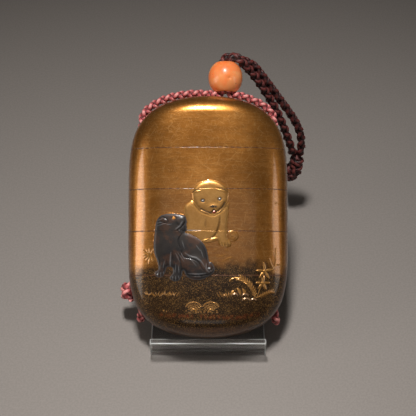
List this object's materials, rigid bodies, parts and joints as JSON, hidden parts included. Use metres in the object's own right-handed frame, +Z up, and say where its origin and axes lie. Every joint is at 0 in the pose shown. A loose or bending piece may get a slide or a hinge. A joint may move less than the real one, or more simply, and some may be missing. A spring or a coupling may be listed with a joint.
{
  "type": "inro case",
  "caption": "Stacked lacquer inro with nesting compartments and a lid, strung on cords through a coral bead, resting on a clear acrylic cradle.",
  "frame": {"origin": "centre of the underside of the stand's ledge", "axes": "+X to the right as seen from the front, +Y to the back, +Z up"},
  "size_m": [0.0694, 0.0857, 0.0747],
  "materials": {
    "gold_lacquer": "burnished gold lacquer, worn",
    "coral": "polished coral",
    "red_cord": "braided silk",
    "dark_cord": "braided silk",
    "clear_acrylic": "polished clear sheet"
  },
  "bodies": {
    "root": {"lid": "gold_lacquer", "upper_case": "gold_lacquer", "second_case": "gold_lacquer", "third_case": "gold_lacquer", "bottom_case": "gold_lacquer", "bead": "coral", "left_strand": "red_cord", "right_strand": "red_cord", "side_knot": "red_cord", "outer_cord": "dark_cord", "inner_cord": "dark_cord", "end_knot": "dark_cord", "stand": "clear_acrylic"}
  },
  "joints": []
}
